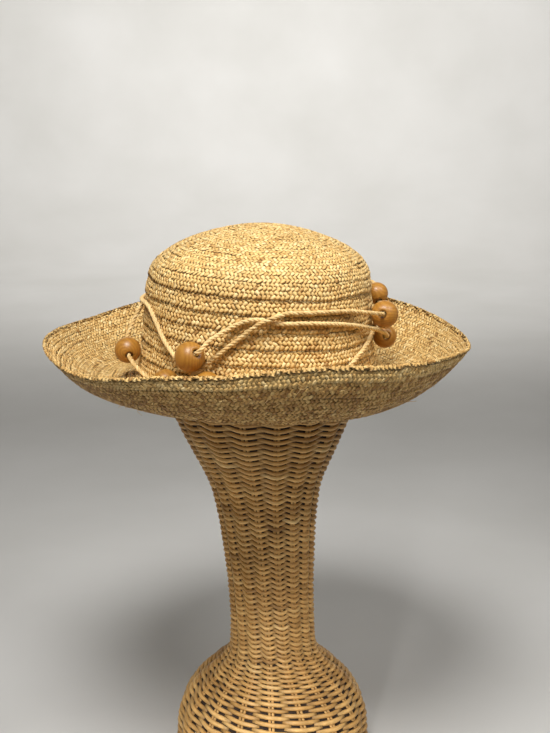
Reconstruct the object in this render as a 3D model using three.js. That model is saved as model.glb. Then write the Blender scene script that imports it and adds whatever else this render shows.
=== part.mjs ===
// A straw hat with a turned-up brim and a beaded string round its crown, set on a wicker hat stand.
// Millimetres, +Z up. The front of the hat faces -Y. The origin is on the floor under the middle of the brim.
// A bearing is an angle round the crown in degrees, 0 at the front and growing towards the right side (+X).
import * as THREE from 'three';

// The hat on its stand
const seamHeight = 334; // from the floor to the seam of crown and brim
const hatTilt = 2; // degrees, the right side lower
const hatShift = 0.6; // the crown's middle, to the right of the origin

// Sewn straw braid
const braidRow = 12.3; // width of one row that shows
const strawWall = 1.5; // thickness at a row's tucked edge
const rowStep = 0.8; // how far a row's lower edge stands over the next row
const seamGap = 0.3; // between the crown's last row and the brim

// Outer face of the crown, from the middle of its top down to the seam, and how far each level leans to the right
const crownSections = [
  { radius: 0, height: 119, lean: 2.4 },
  { radius: 18, height: 118, lean: 2.2 },
  { radius: 33.8, height: 114.8, lean: 2.2 },
  { radius: 44.4, height: 111.8, lean: 2.1 },
  { radius: 55, height: 108.2, lean: 2 },
  { radius: 62.8, height: 104.9, lean: 1.8 },
  { radius: 70.2, height: 101, lean: 1.5 },
  { radius: 77, height: 96.2, lean: 0.9 },
  { radius: 82.2, height: 91, lean: -0.2 },
  { radius: 86, height: 85.6, lean: -1.2 },
  { radius: 87.8, height: 79.4, lean: -1.7 },
  { radius: 88.7, height: 73.7, lean: -1.9 },
  { radius: 89.7, height: 60, lean: -1.9 },
  { radius: 91.3, height: 42, lean: -1.9 },
  { radius: 93.6, height: 18, lean: -1.6 },
  { radius: 95.8, height: 0, lean: -1.2 },
];
const crownRows = 15;
const crownSegments = 44;

// Upper face of the brim, from the seam out to the rim. The share of the rim's rise that reaches each place
// differs between a brim rolled up like a bowl and one spread like a cone.
const brimFloor = -7.6; // the brim's lowest level, under the seam
const rimShift = -1.5; // the rim's middle, to the right of the crown's axis
const rimRoll = { start: 157, reach: 3.8, bearing: 22, half: 75 }; // the front of the rim comes upright
const brimSections = [
  { radius: 93.4, height: 0, bowl: 0, cone: 0 },
  { radius: 103, height: -2.2, bowl: 0, cone: 0.01 },
  { radius: 114, height: -5.4, bowl: 0, cone: 0.08 },
  { radius: 126, height: -7.6, bowl: 0.03, cone: 0.22 },
  { radius: 138, height: -7.6, bowl: 0.14, cone: 0.4 },
  { radius: 149, height: -7.6, bowl: 0.34, cone: 0.6 },
  { radius: 157, height: -7.6, bowl: 0.59, cone: 0.78 },
  { radius: 163.4, height: -7.6, bowl: 0.83, cone: 0.92 },
  { radius: 167.5, height: -7.6, bowl: 1, cone: 1 },
];
const brimRows = 8;
const brimSegments = 48;

// The rim's height over the seam, and how far the brim there spreads like a cone, round the hat
const rimTable = [
  { bearing: -180, height: 41, spread: 0.2 },
  { bearing: -160, height: 36, spread: 0.2 },
  { bearing: -140, height: 29, spread: 0.15 },
  { bearing: -120, height: 22.5, spread: 0.1 },
  { bearing: -100, height: 23, spread: 0.1 },
  { bearing: -80, height: 24, spread: 0.1 },
  { bearing: -62, height: 21.5, spread: 0.1 },
  { bearing: -48, height: 20.5, spread: 0.1 },
  { bearing: -36, height: 24.5, spread: 0.05 },
  { bearing: -22, height: 31.5, spread: 0 },
  { bearing: -8, height: 35.5, spread: 0 },
  { bearing: 5, height: 41, spread: 0 },
  { bearing: 18, height: 43, spread: 0.05 },
  { bearing: 34, height: 40.5, spread: 0.08 },
  { bearing: 50, height: 38.5, spread: 0.24 },
  { bearing: 66, height: 36.6, spread: 0.5 },
  { bearing: 84, height: 31.5, spread: 0.7 },
  { bearing: 104, height: 33, spread: 0.55 },
  { bearing: 124, height: 38.5, spread: 0.4 },
  { bearing: 145, height: 42.5, spread: 0.3 },
  { bearing: 163, height: 43, spread: 0.2 },
];

// The string and its wooden beads
const stringRadius = 1.6;
const stringStep = 11.5; // along the string between its rings
const beadShape = 0.88; // a bead's length as a share of its width
const beadHole = 2.7; // radius
const bearingLength = 1.66; // along the crown for one degree
const beadRun = 3; // straight run of string out of each end of a bead

// The string's turns round the crown: lift is from the crown's outer face to the middle of the string,
// slope is a bead's tilt in degrees, up towards the right, turn how far its right end comes off the crown, and width
// its diameter
const stringTurns = {
  string_turn_1: [
    { bearing: -19.4, height: 12.2, lift: 11.4, bead: 'bead_front_low_right', slope: -4, width: 21 },
    { bearing: -4, height: 9.5, lift: 6 },
    { bearing: 10, height: 9.5, lift: 2.4 },
    { bearing: 26, height: 13, lift: 2.4 },
    { bearing: 46, height: 21.4, lift: 2.3 },
    { bearing: 52.8, height: 27.2, lift: 2.3 },
    { bearing: 60, height: 32.8, lift: 2.3 },
    { bearing: 66.6, height: 37.5, lift: 2.3 },
    { bearing: 72.4, height: 41.6, lift: 2.3 },
    { bearing: 80, height: 46, lift: 2.3 },
    { bearing: 87, height: 49.5, lift: 2.8 },
    { bearing: 94.5, height: 53, lift: 5.5 },
    { bearing: 106, height: 62, lift: 9.9, bead: 'bead_right_top', slope: 40, width: 18.6 },
    { bearing: 120, height: 69, lift: 4.5 },
    { bearing: 136, height: 67.5, lift: 2.4 },
    { bearing: 158, height: 63.5, lift: 2.3 },
    { bearing: 179.6, height: 61.5, lift: 2.3 },
  ],
  string_turn_2: [
    { bearing: -179.6, height: 61.5, lift: 2.3 },
    { bearing: -150, height: 59, lift: 2.3 },
    { bearing: -120, height: 57, lift: 2.3 },
    { bearing: -95, height: 56.4, lift: 2.3 },
    { bearing: -79, height: 58.2, lift: 2.3 },
    { bearing: -66.1, height: 58.4, lift: 2.3 },
    { bearing: -59.8, height: 53.7, lift: 2.3 },
    { bearing: -54, height: 46.9, lift: 2.4 },
    { bearing: -49.2, height: 40.9, lift: 3.2 },
    { bearing: -44.6, height: 36.2, lift: 4.8 },
    { bearing: -27.6, height: 31.7, lift: 12, bead: 'bead_front', slope: 28, turn: -24, width: 22.4 },
    { bearing: -19.4, height: 44.6, lift: 13.4 },
    { bearing: -16.6, height: 48.8, lift: 8.2 },
    { bearing: -12.9, height: 52.8, lift: 4.2 },
    { bearing: -8.9, height: 56.7, lift: 2.6 },
    { bearing: -3.8, height: 59.8, lift: 2.3 },
    { bearing: 1.4, height: 60.7, lift: 2.2 },
    { bearing: 4.9, height: 59.4, lift: 2.2 },
    { bearing: 9.2, height: 58, lift: 2.2 },
    { bearing: 23, height: 57.6, lift: 2.3 },
    { bearing: 39, height: 55.3, lift: 2.3 },
    { bearing: 52, height: 51.8, lift: 2.6 },
    { bearing: 62, height: 48, lift: 4.4 },
    { bearing: 72, height: 43.4, lift: 7.8 },
    { bearing: 94, height: 31, lift: 10, bead: 'bead_right_low', slope: -14, width: 19 },
    { bearing: 110, height: 24, lift: 5.5 },
    { bearing: 130, height: 25, lift: 2.4 },
    { bearing: 155, height: 34, lift: 2.3 },
    { bearing: 179.6, height: 42, lift: 2.3 },
  ],
  string_turn_3: [
    { bearing: -179.6, height: 42, lift: 2.3 },
    { bearing: -150, height: 46.8, lift: 2.3 },
    { bearing: -122, height: 50.6, lift: 2.3 },
    { bearing: -104, height: 51.8, lift: 2.4 },
    { bearing: -96, height: 50.4, lift: 3 },
    { bearing: -91.5, height: 45, lift: 5.2 },
    { bearing: -89.5, height: 38, lift: 7.6 },
    { bearing: -75.5, height: 20, lift: 10.8, bead: 'bead_left', slope: -16, width: 20.6 },
    { bearing: -60.5, height: 12.8, lift: 10.8 },
    { bearing: -51.5, height: 9.4, lift: 11 },
    { bearing: -39, height: 8.8, lift: 11.4, bead: 'bead_front_low_left', slope: 8, width: 21 },
    { bearing: -26.4, height: 18, lift: 6 },
    { bearing: -20, height: 28.6, lift: 4.2 },
    { bearing: -13.5, height: 38.4, lift: 3 },
    { bearing: -6.9, height: 47.5, lift: 2.8 },
    { bearing: -3.5, height: 52.2, lift: 3.4 },
    { bearing: -0.2, height: 56.8, lift: 5 },
    { bearing: 2.9, height: 60.1, lift: 6.4 },
    { bearing: 6.2, height: 62.3, lift: 6.4 },
    { bearing: 9.5, height: 64.1, lift: 5 },
    { bearing: 13.4, height: 65.4, lift: 2.9 },
    { bearing: 24, height: 65.2, lift: 2.3 },
    { bearing: 36, height: 64.8, lift: 2.3 },
    { bearing: 48, height: 63.2, lift: 2.6 },
    { bearing: 58, height: 60.8, lift: 6 },
    { bearing: 75, height: 55.4, lift: 11.2, bead: 'bead_right_middle', slope: -10, width: 21.4 },
    { bearing: 90, height: 49, lift: 10 },
    { bearing: 104, height: 44, lift: 3.4 },
    { bearing: 120, height: 43, lift: 2.3 },
    { bearing: 145, height: 48, lift: 2.3 },
    { bearing: 168, height: 51.5, lift: 2.3 },
  ],
};

// The stand: outer face from the floor up, and how far its middle leans to the right of the origin
const standSections = [
  { height: 0, radius: 81.5, lean: 11.5 },
  { height: 14, radius: 82, lean: 11.5 },
  { height: 34, radius: 81, lean: 11.5 },
  { height: 46, radius: 78.2, lean: 11.5 },
  { height: 59, radius: 71.4, lean: 11.6 },
  { height: 72, radius: 61, lean: 11.7 },
  { height: 83, radius: 48.4, lean: 11.8 },
  { height: 92, radius: 39.8, lean: 11.9 },
  { height: 102, radius: 36.6, lean: 11.9 },
  { height: 125, radius: 36, lean: 11.4 },
  { height: 152, radius: 36.6, lean: 10.2 },
  { height: 177, radius: 38.2, lean: 9.1 },
  { height: 207, radius: 40.8, lean: 7.6 },
  { height: 233, radius: 44.6, lean: 6.4 },
  { height: 250, radius: 49.6, lean: 5.5 },
  { height: 266, radius: 56.8, lean: 4.9 },
  { height: 292, radius: 68.8, lean: 3.8 },
  { height: 312, radius: 76, lean: 3.4 },
  { height: 328, radius: 78.4, lean: 3.2 },
];
const standHead = { height: 328, radius: 78.4, top: 449.6, rings: 7 }; // the round head inside the crown
const standWall = 4.5;
const standSegments = 30;

const strawColour = 0xd2ac6b;
const stringColour = 0xccab6f;
const woodColour = 0xb8833a;
const wickerColour = 0x9a743f;

function radians(degrees) {
  return THREE.MathUtils.degToRad(degrees);
}

// A smooth curve through the sections, as points of radius and height spaced evenly along it.
function spacedSection(sections, count) {
  const curve = new THREE.SplineCurve(sections.map((s) => new THREE.Vector2(s.radius, s.height)));
  curve.arcLengthDivisions = 1200;
  const points = [];
  for (let i = 0; i <= count; i++) {
    const place = curve.getPointAt(i / count);
    const along = curve.getTangentAt(i / count);
    points.push({ place, out: new THREE.Vector2(-along.y, along.x) });
  }
  return points;
}

function moved(point, distance) {
  return point.place.clone().addScaledVector(point.out, distance);
}

// Value of a table column at a bearing, smooth all the way round.
function roundTable(table, column) {
  const count = table.length;
  return (bearing) => {
    const turn = ((bearing + 180) % 360 + 360) % 360 - 180;
    let i = count - 1;
    while (i > 0 && table[i].bearing > turn) i--;
    const at = (k) => table[((k % count) + count) % count][column];
    const start = table[i].bearing;
    const end = i + 1 < count ? table[i + 1].bearing : table[0].bearing + 360;
    const t = (turn - start) / (end - start);
    const [a, b, c, d] = [at(i - 1), at(i), at(i + 1), at(i + 2)];
    return b + 0.5 * t * (c - a + t * (2 * a - 5 * b + 4 * c - d + t * (3 * (b - c) + d - a)));
  };
}

// Value of a section column at a place along another column.
function along(sections, from, to) {
  return (x) => {
    const rising = sections[0][from] < sections[sections.length - 1][from];
    const list = rising ? sections : [...sections].reverse();
    let i = 0;
    while (i < list.length - 2 && list[i + 1][from] < x) i++;
    const t = THREE.MathUtils.clamp((x - list[i][from]) / (list[i + 1][from] - list[i][from]), 0, 1);
    return THREE.MathUtils.lerp(list[i][to], list[i + 1][to], t);
  };
}

// A closed profile turned round +Z, then shaped point by point.
function turned(profile, segments, shape) {
  const geometry = new THREE.LatheGeometry(profile, segments).rotateX(Math.PI / 2);
  if (shape) {
    const place = geometry.getAttribute('position');
    const point = new THREE.Vector3();
    for (let i = 0; i < place.count; i++) {
      shape(point.fromBufferAttribute(place, i));
      place.setXYZ(i, point.x, point.y, point.z);
    }
  }
  return geometry;
}

function named(name, geometry, colour, roughness) {
  const mesh = new THREE.Mesh(geometry, new THREE.MeshStandardMaterial({ color: colour, roughness, metalness: 0 }));
  mesh.name = name;
  return mesh;
}

// The crown: rows of braid overlapping downwards, from the middle of the top to the seam.
function crownProfile() {
  const outer = spacedSection(crownSections, crownRows);
  const inner = spacedSection(crownSections, 9);
  const wall = strawWall + rowStep;
  const profile = [];
  for (let i = 0; i < crownRows; i++) {
    profile.push(moved(outer[i], i ? -rowStep : 0), moved(outer[i + 1], 0));
  }
  profile[0].x = 0;
  profile[profile.length - 1].y = seamGap;
  for (let i = inner.length - 1; i >= 0; i--) profile.push(moved(inner[i], -wall));
  profile[profile.length - inner.length].y = seamGap;
  profile[profile.length - 1].x = 0;
  return profile.reverse();
}

const crownLean = along(crownSections, 'height', 'lean');

function leanCrown(point) {
  point.x += crownLean(point.z);
}

// The brim: rows overlapping outwards on its upper face, smooth below, level until the rim's own height is added.
function brimProfile() {
  const middle = brimSections.map((s) => ({ radius: s.radius, height: s.height + s.bowl * (rimMean - brimFloor) }));
  const upper = spacedSection(middle, brimRows);
  const lower = spacedSection(middle, 9);
  const profile = [];
  for (let i = 0; i < brimRows; i++) {
    profile.push(moved(upper[i], i ? -rowStep : 0), moved(upper[i + 1], 0));
  }
  for (let i = lower.length - 1; i >= 0; i--) profile.push(moved(lower[i], -strawWall - rowStep));
  profile.push(profile[0].clone());
  return profile.reverse();
}

const rimHeight = roundTable(rimTable, 'height');
const rimSpread = roundTable(rimTable, 'spread');
const rimMean = rimTable.reduce((sum, row) => sum + row.height, 0) / rimTable.length;
const rimRadius = brimSections[brimSections.length - 1].radius;
const bowlShare = along(brimSections, 'radius', 'bowl');
const coneShare = along(brimSections, 'radius', 'cone');

function shapeBrim(point) {
  const radius = Math.hypot(point.x, point.y);
  const bearing = THREE.MathUtils.radToDeg(Math.atan2(point.x, -point.y));
  const share = THREE.MathUtils.lerp(bowlShare(radius), coneShare(radius), rimSpread(bearing));
  const near = THREE.MathUtils.clamp(1 - ((bearing - rimRoll.bearing) / rimRoll.half) ** 2, 0, 1);
  const past = THREE.MathUtils.clamp((radius - rimRoll.start) / (rimRadius - rimRoll.start), 0, 1.1);
  const rolled = 1 - (rimRoll.reach * near * past ** 2) / radius;
  point.x *= rolled;
  point.y *= rolled;
  point.z += share * (rimHeight(bearing) - brimFloor) - bowlShare(radius) * (rimMean - brimFloor);
  point.x += THREE.MathUtils.lerp(crownLean(0), rimShift, bowlShare(radius));
}

// Places round the crown: how far out from its outer face, at a bearing and a height.
const crownWall = crownSections.filter((s) => s.radius > 77);
const crownRadius = along(crownWall, 'height', 'radius');

function onCrown({ bearing, height, lift }) {
  const radius = crownRadius(height) + lift;
  const angle = radians(bearing);
  return new THREE.Vector3(crownLean(height) + radius * Math.sin(angle), -radius * Math.cos(angle), height);
}

function offCrown(place, near) {
  const x = place.x - crownLean(place.z);
  const turn = THREE.MathUtils.radToDeg(Math.atan2(x, -place.y));
  const bearing = turn + 360 * Math.round((near - turn) / 360);
  return { bearing, height: place.z, lift: Math.hypot(x, place.y) - crownRadius(place.z) };
}

function beadAxis(row) {
  const angle = radians(row.bearing + (row.turn ?? 0));
  const slope = radians(row.slope);
  return new THREE.Vector3(Math.cos(angle) * Math.cos(slope), Math.sin(angle) * Math.cos(slope), Math.sin(slope));
}

// One turn of the string, smooth in bearing, height and lift, and straight through its beads.
function stringGeometry(rows) {
  const unrolled = [];
  for (const row of rows) {
    if (!row.bead) {
      unrolled.push(row);
      continue;
    }
    const reach = (row.width * beadShape) / 2 + beadRun;
    for (const run of [-reach, 0, reach]) {
      unrolled.push(offCrown(onCrown(row).addScaledVector(beadAxis(row), run), row.bearing));
    }
  }
  const flat = unrolled.map((row) => new THREE.Vector3(row.bearing * bearingLength, row.height, row.lift));
  const route = new THREE.CatmullRomCurve3(flat, false, 'centripetal');
  const places = route.getPoints(flat.length * 6).map((p) => onCrown({ bearing: p.x / bearingLength, height: p.y, lift: p.z }));
  const path = new THREE.CatmullRomCurve3(places, false, 'centripetal');
  path.arcLengthDivisions = 1600;
  const round = new THREE.Shape();
  for (let i = 0; i < 8; i++) {
    const a = (2 * Math.PI * i) / 8;
    if (i) round.lineTo(stringRadius * Math.cos(a), stringRadius * Math.sin(a));
    else round.moveTo(stringRadius, 0);
  }
  round.closePath();
  const steps = Math.round(path.getLength() / stringStep);
  return new THREE.ExtrudeGeometry(round, { extrudePath: path, steps, curveSegments: 1 });
}

// A turned wooden bead with its hole along +Y.
function beadGeometry(width) {
  const end = (width * beadShape) / 2;
  const profile = [new THREE.Vector2(beadHole, -end)];
  for (let i = 0; i <= 6; i++) {
    const a = radians(-65 + (130 * i) / 6);
    profile.push(new THREE.Vector2((width / 2) * Math.cos(a), (end * Math.sin(a)) / Math.sin(radians(65))));
  }
  profile.push(new THREE.Vector2(beadHole, end), new THREE.Vector2(beadHole, -end));
  return new THREE.LatheGeometry(profile, 12);
}

// The stand: a bell foot open below, a narrow neck, a flare and a round head, all one thin wall.
function standProfile() {
  const outer = standSections.map((s) => new THREE.Vector2(s.radius, s.height));
  const rise = standHead.top - standHead.height;
  for (let i = 1; i <= standHead.rings; i++) {
    const a = (Math.PI / 2) * (i / standHead.rings);
    outer.push(new THREE.Vector2(standHead.radius * Math.cos(a), standHead.height + rise * Math.sin(a)));
  }
  outer[outer.length - 1].x = 0;
  const profile = [...outer];
  const last = outer.length - 1;
  for (let i = last; i >= 0; i--) {
    if (i % 2 && i !== last) continue;
    const side = outer[Math.min(i + 1, last)].clone().sub(outer[Math.max(i - 1, 0)]).normalize();
    const place = new THREE.Vector2(outer[i].x - standWall * side.y, outer[i].y + standWall * side.x);
    if (i === last) place.set(0, outer[i].y - standWall);
    if (i === 0) place.set(outer[i].x - standWall, 0);
    profile.push(place);
  }
  profile.push(profile[0].clone());
  return profile;
}

const standLean = along(standSections, 'height', 'lean');
const straw = 0.85;
const hat = new THREE.Group();
hat.add(named('crown', turned(crownProfile(), crownSegments, leanCrown), strawColour, straw));
hat.add(named('brim', turned(brimProfile(), brimSegments, shapeBrim), strawColour, straw));
for (const [name, rows] of Object.entries(stringTurns)) {
  hat.add(named(name, stringGeometry(rows), stringColour, 0.8));
  for (const row of rows.filter((r) => r.bead)) {
    const bead = named(row.bead, beadGeometry(row.width), woodColour, 0.5);
    bead.position.copy(onCrown(row));
    bead.quaternion.setFromUnitVectors(new THREE.Vector3(0, 1, 0), beadAxis(row));
    hat.add(bead);
  }
}
hat.position.set(hatShift, 0, seamHeight);
hat.rotation.y = radians(hatTilt);

const stand = named(
  'stand',
  turned(standProfile(), standSegments, (point) => {
    point.x += standLean(point.z);
  }),
  wickerColour,
  0.8,
);

const hatOnStand = new THREE.Group();
hatOnStand.add(hat, stand);

export default hatOnStand;
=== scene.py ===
import math

import bmesh
import bpy
import numpy as np
from mathutils import Matrix, Vector


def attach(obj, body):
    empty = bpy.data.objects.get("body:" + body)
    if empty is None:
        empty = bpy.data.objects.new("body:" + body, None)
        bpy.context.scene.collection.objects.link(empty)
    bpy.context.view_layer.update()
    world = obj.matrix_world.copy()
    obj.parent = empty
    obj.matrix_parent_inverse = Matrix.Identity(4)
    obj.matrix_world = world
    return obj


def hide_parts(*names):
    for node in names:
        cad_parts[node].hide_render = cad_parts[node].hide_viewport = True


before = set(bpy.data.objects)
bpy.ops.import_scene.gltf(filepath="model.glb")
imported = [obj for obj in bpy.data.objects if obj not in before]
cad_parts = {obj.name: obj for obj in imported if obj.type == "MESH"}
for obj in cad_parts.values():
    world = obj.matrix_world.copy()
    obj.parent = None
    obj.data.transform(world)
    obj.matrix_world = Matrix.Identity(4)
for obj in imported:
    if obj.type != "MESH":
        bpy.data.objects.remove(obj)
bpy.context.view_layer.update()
scene = bpy.context.scene
toScene = scene.collection.objects.link
mm = 0.001  # lines and faces are in millimetres until they are placed
fullTurn = 2 * math.pi
rng = np.random.default_rng(11)  # one seed, so every run gives the same straw
faceStep = {"run": 0.4, "bearing": 0.25}  # for the normal of a face
strandShift = 200  # each strand takes its own place in the noise
strandSkew = 3  # the shift along a strand over the one across it
noiseLow = 0.3  # most noise lies between these two
noiseHigh = 0.7
weldReach = 1e-4
strawSides = 4
caneSides = 6


def cubicSpan(p1, p2, v0, v1, t):  # from p1 to p2, leaving at v0 and arriving at v1
    return (2 * p1 - 2 * p2 + v0 + v1) * t**3 + (3 * p2 - 3 * p1 - 2 * v0 - v1) * t**2 + v0 * t + p1


def splineThrough(points, perSpan=40):
    pts = np.asarray(points, float)
    ext = np.vstack([pts[:1], pts, pts[-1:]])
    t = np.linspace(0, 1, perSpan, endpoint=False)[:, None]
    spans = []
    for i in range(len(pts) - 1):
        p0, p1, p2, p3 = ext[i:i + 4]
        v0 = (p2 - p0) / 2
        v1 = (p3 - p1) / 2
        spans.append(cubicSpan(p1, p2, v0, v1, t))
    return np.vstack(spans + [pts[-1:]])


def loosePath(points, perSpan=10):  # keeps tight bends free of loops where points stand close
    pts = np.asarray(points, float)
    ext = np.vstack([2 * pts[0] - pts[1], pts, 2 * pts[-1] - pts[-2]])
    t = np.linspace(0, 1, perSpan, endpoint=False)[:, None]
    spans = []
    for i in range(len(pts) - 1):
        p0, p1, p2, p3 = ext[i:i + 4]
        d0, d1, d2 = [max(np.linalg.norm(b - a), 1e-6)**0.5 for a, b in ((p0, p1), (p1, p2), (p2, p3))]
        v0 = ((p1 - p0) / d0 - (p2 - p0) / (d0 + d1) + (p2 - p1) / d1) * d1
        v1 = ((p2 - p1) / d1 - (p3 - p1) / (d1 + d2) + (p3 - p2) / d2) * d1
        spans.append(cubicSpan(p1, p2, v0, v1, t))
    return np.vstack(spans + [pts[-1:]])


def measured(line):  # length along a line at each of its points
    return np.concatenate([[0], np.cumsum(np.linalg.norm(np.diff(line, axis=0), axis=1))])


def unit(way):
    return way / np.linalg.norm(way, axis=-1, keepdims=True)


def offFace(face, run, bearing, off):  # a place that stands off a face along its normal
    run, bearing, off = np.broadcast_arrays(run, bearing, off)
    down = face(run + faceStep["run"], bearing) - face(run - faceStep["run"], bearing)
    around = face(run, bearing + faceStep["bearing"]) - face(run, bearing - faceStep["bearing"])
    out = np.cross(down, around)
    out /= np.maximum(np.linalg.norm(out, axis=-1, keepdims=True), 1e-9)
    return face(run, bearing) + out * off[..., None]


def aroundTable(rows, column):  # a smooth value all the way round, from a table of bearings
    table = np.array(rows, float)
    laps = np.vstack([table - [360, 0, 0], table, table + [360, 0, 0]])
    perSpan = 24
    line = splineThrough(laps[:, [0, column]], perSpan)
    spans = np.interp(np.arange(len(line)) / perSpan, np.arange(len(laps)), laps[:, 0])
    return lambda bearing: np.interp(bearing, spans, line[:, 1])


hatShape = {
    "seamHeight": 334, "tilt": 2, "shift": 0.6,
    "wall": 2.3,  # thickness of the braid
    "seamTail": {"length": 8, "way": (0.12, -0.99)},  # the crown's line runs on past the seam
    "leastRadius": 0.3,
    "crown": [  # radius, height, lean to the right
        (0, 119, 2.4), (18, 118, 2.2), (33.8, 114.8, 2.2), (44.4, 111.8, 2.1), (55, 108.2, 2),
        (62.8, 104.9, 1.8), (70.2, 101, 1.5), (77, 96.2, 0.9), (82.2, 91, -0.2), (86, 85.6, -1.2),
        (87.8, 79.4, -1.7), (88.7, 73.7, -1.9), (89.7, 60, -1.9), (91.3, 42, -1.9), (93.6, 18, -1.6),
        (95.8, 0, -1.2),
    ],
    "brimFloor": -7.6,
    "roll": {"start": 157, "reach": 3.8, "bearing": 22, "half": 75, "overrun": 1.1},  # upright front
    "rimShift": -1.5,
    "brim": [  # radius, height, share of the rim's rise on a rolled brim, and on a spread one
        (93.4, 0, 0, 0), (103, -2.2, 0, 0.01), (114, -5.4, 0, 0.08), (126, -7.6, 0.03, 0.22),
        (138, -7.6, 0.14, 0.4), (149, -7.6, 0.34, 0.6), (157, -7.6, 0.59, 0.78), (163.4, -7.6, 0.83, 0.92),
        (167.5, -7.6, 1, 1),
    ],
    "rim": [  # bearing, height, spread
        (-180, 41, 0.2), (-160, 36, 0.2), (-140, 29, 0.15), (-120, 22.5, 0.1), (-100, 23, 0.1),
        (-80, 24, 0.1), (-62, 21.5, 0.1), (-48, 20.5, 0.1), (-36, 24.5, 0.05), (-22, 31.5, 0),
        (-8, 35.5, 0), (5, 41, 0), (18, 43, 0.05), (34, 40.5, 0.08), (50, 38.5, 0.24), (66, 36.6, 0.5),
        (84, 31.5, 0.7), (104, 33, 0.55), (124, 38.5, 0.4), (145, 42.5, 0.3), (163, 43, 0.2),
    ],
}

crownTable = np.array(hatShape["crown"], float)
crownLine = splineThrough(crownTable[:, :2])
seamTail = hatShape["seamTail"]
crownLine = np.vstack([crownLine, crownLine[-1] + seamTail["length"] * np.array(seamTail["way"])])
crownRun = measured(crownLine)
crownEnd = crownRun[-1] - seamTail["length"]
brimTable = np.array(hatShape["brim"], float)
rimHeight = aroundTable(hatShape["rim"], 1)
rimSpread = aroundTable(hatShape["rim"], 2)
rimRise = np.mean([row[1] for row in hatShape["rim"]]) - hatShape["brimFloor"]
brimLine = splineThrough(np.stack([brimTable[:, 0], brimTable[:, 1] + brimTable[:, 2] * rimRise], 1))
brimRun = measured(brimLine)
brimEnd = brimRun[-1]


def polar(shift, radius, bearing, height):  # a place at a bearing round an upright axis
    turn = np.radians(bearing)
    x = shift + radius * np.sin(turn)
    return np.stack(np.broadcast_arrays(x, -radius * np.cos(turn), height), -1)


def crownLean(height):
    return np.interp(height, crownTable[::-1, 1], crownTable[::-1, 2])


def crownFace(run, bearing):
    radius = np.maximum(np.interp(run, crownRun, crownLine[:, 0]), hatShape["leastRadius"])
    height = np.interp(run, crownRun, crownLine[:, 1])
    return polar(crownLean(height), radius, bearing, height)


def brimPlace(radius, level, bearing):
    bowl = np.interp(radius, brimTable[:, 0], brimTable[:, 2])
    cone = np.interp(radius, brimTable[:, 0], brimTable[:, 3])
    share = bowl + (cone - bowl) * rimSpread(bearing)
    height = level + share * (rimHeight(bearing) - hatShape["brimFloor"]) - bowl * rimRise
    shift = crownLean(0) + (hatShape["rimShift"] - crownLean(0)) * bowl
    roll = hatShape["roll"]
    near = np.clip(1 - ((bearing - roll["bearing"]) / roll["half"])**2, 0, 1)
    past = np.clip((radius - roll["start"]) / (brimTable[-1, 0] - roll["start"]), 0, roll["overrun"])
    radius = radius - roll["reach"] * near * past**2
    return polar(shift, radius, bearing, height)


def brimFace(run, bearing):
    radius = np.interp(run, brimRun, brimLine[:, 0])
    return brimPlace(radius, np.interp(run, brimRun, brimLine[:, 1]), bearing)


def rimFace(cross, bearing):  # wraps over the rim: cross is 0 on its edge, less on top, more underneath
    half = hatShape["wall"] / 2
    turn = np.clip(cross / half, -math.pi / 2, math.pi / 2)
    back = np.maximum(np.abs(cross) - half * math.pi / 2, 0)
    middle = offFace(brimFace, brimEnd - back, bearing, -half)
    before = brimEnd - 1 - back  # a millimetre short of the edge
    up = offFace(brimFace, before, bearing, half) - offFace(brimFace, before, bearing, -half)
    out = unit(brimFace(brimEnd - back, bearing) - brimFace(before, bearing))
    return middle + half * np.cos(turn)[..., None] * out - np.sin(turn)[..., None] * up / 2


hatPlace = Matrix.Translation((hatShape["shift"], 0, hatShape["seamHeight"]))
hatTurn = hatPlace @ Matrix.Rotation(math.radians(hatShape["tilt"]), 4, "Y")


def onHat(points):  # from the hat's own millimetres to metres in the shared frame
    turn = np.array(hatTurn)
    return (np.asarray(points) @ turn[:3, :3].T + turn[:3, 3]) * mm


def piece(name, mesh, material):
    obj = bpy.data.objects.new(name, mesh)
    toScene(obj)
    mesh.materials.clear()
    mesh.materials.append(material)
    mesh.polygons.foreach_set("use_smooth", [True] * len(mesh.polygons))
    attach(obj, "root")
    return obj


def giveLook(mesh, strand, look):  # strand: place in one fibre bundle, look: tint, edge and end, the last two for painted shade
    for label, values in (("strand", strand), ("look", look)):
        layer = mesh.attributes.new(label, "FLOAT_VECTOR", "POINT")
        layer.data.foreach_set("vector", np.ascontiguousarray(values, dtype=np.float32).ravel())


def spinRound(bm, points, steps, axis, closed):  # a profile turned all the way round
    verts = [bm.verts.new(point) for point in points]
    nexts = verts[1:] + verts[:1] if closed else verts[1:]
    edges = [bm.edges.new(pair) for pair in zip(verts, nexts)]
    bmesh.ops.spin(bm, geom=verts + edges, cent=(0, 0, 0), axis=axis, angle=fullTurn, steps=steps,
                   use_merge=True)
    bmesh.ops.remove_doubles(bm, verts=bm.verts, dist=weldReach)
    bmesh.ops.recalc_face_normals(bm, faces=bm.faces)


def meshFrom(bm, name):
    mesh = bpy.data.meshes.new(name)
    bm.to_mesh(mesh)
    bm.free()
    return mesh


def profileAlong(line, run, stops):  # places along a profile, and its side there
    radius = np.interp(stops, run, line[:, 0])
    height = np.interp(stops, run, line[:, 1])
    side = np.stack([-np.gradient(height, stops), np.gradient(radius, stops)], 1)
    return np.stack([radius, height], 1), unit(side)


def put(tree, kind, links=None, **settings):
    node = tree.nodes.new(kind)
    for key, value in settings.items():
        setattr(node, key, value)
    for socket, value in (links or {}).items():
        if isinstance(value, bpy.types.NodeSocket):
            tree.links.new(value, node.inputs[socket])
        else:
            node.inputs[socket].default_value = value
    return node


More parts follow.
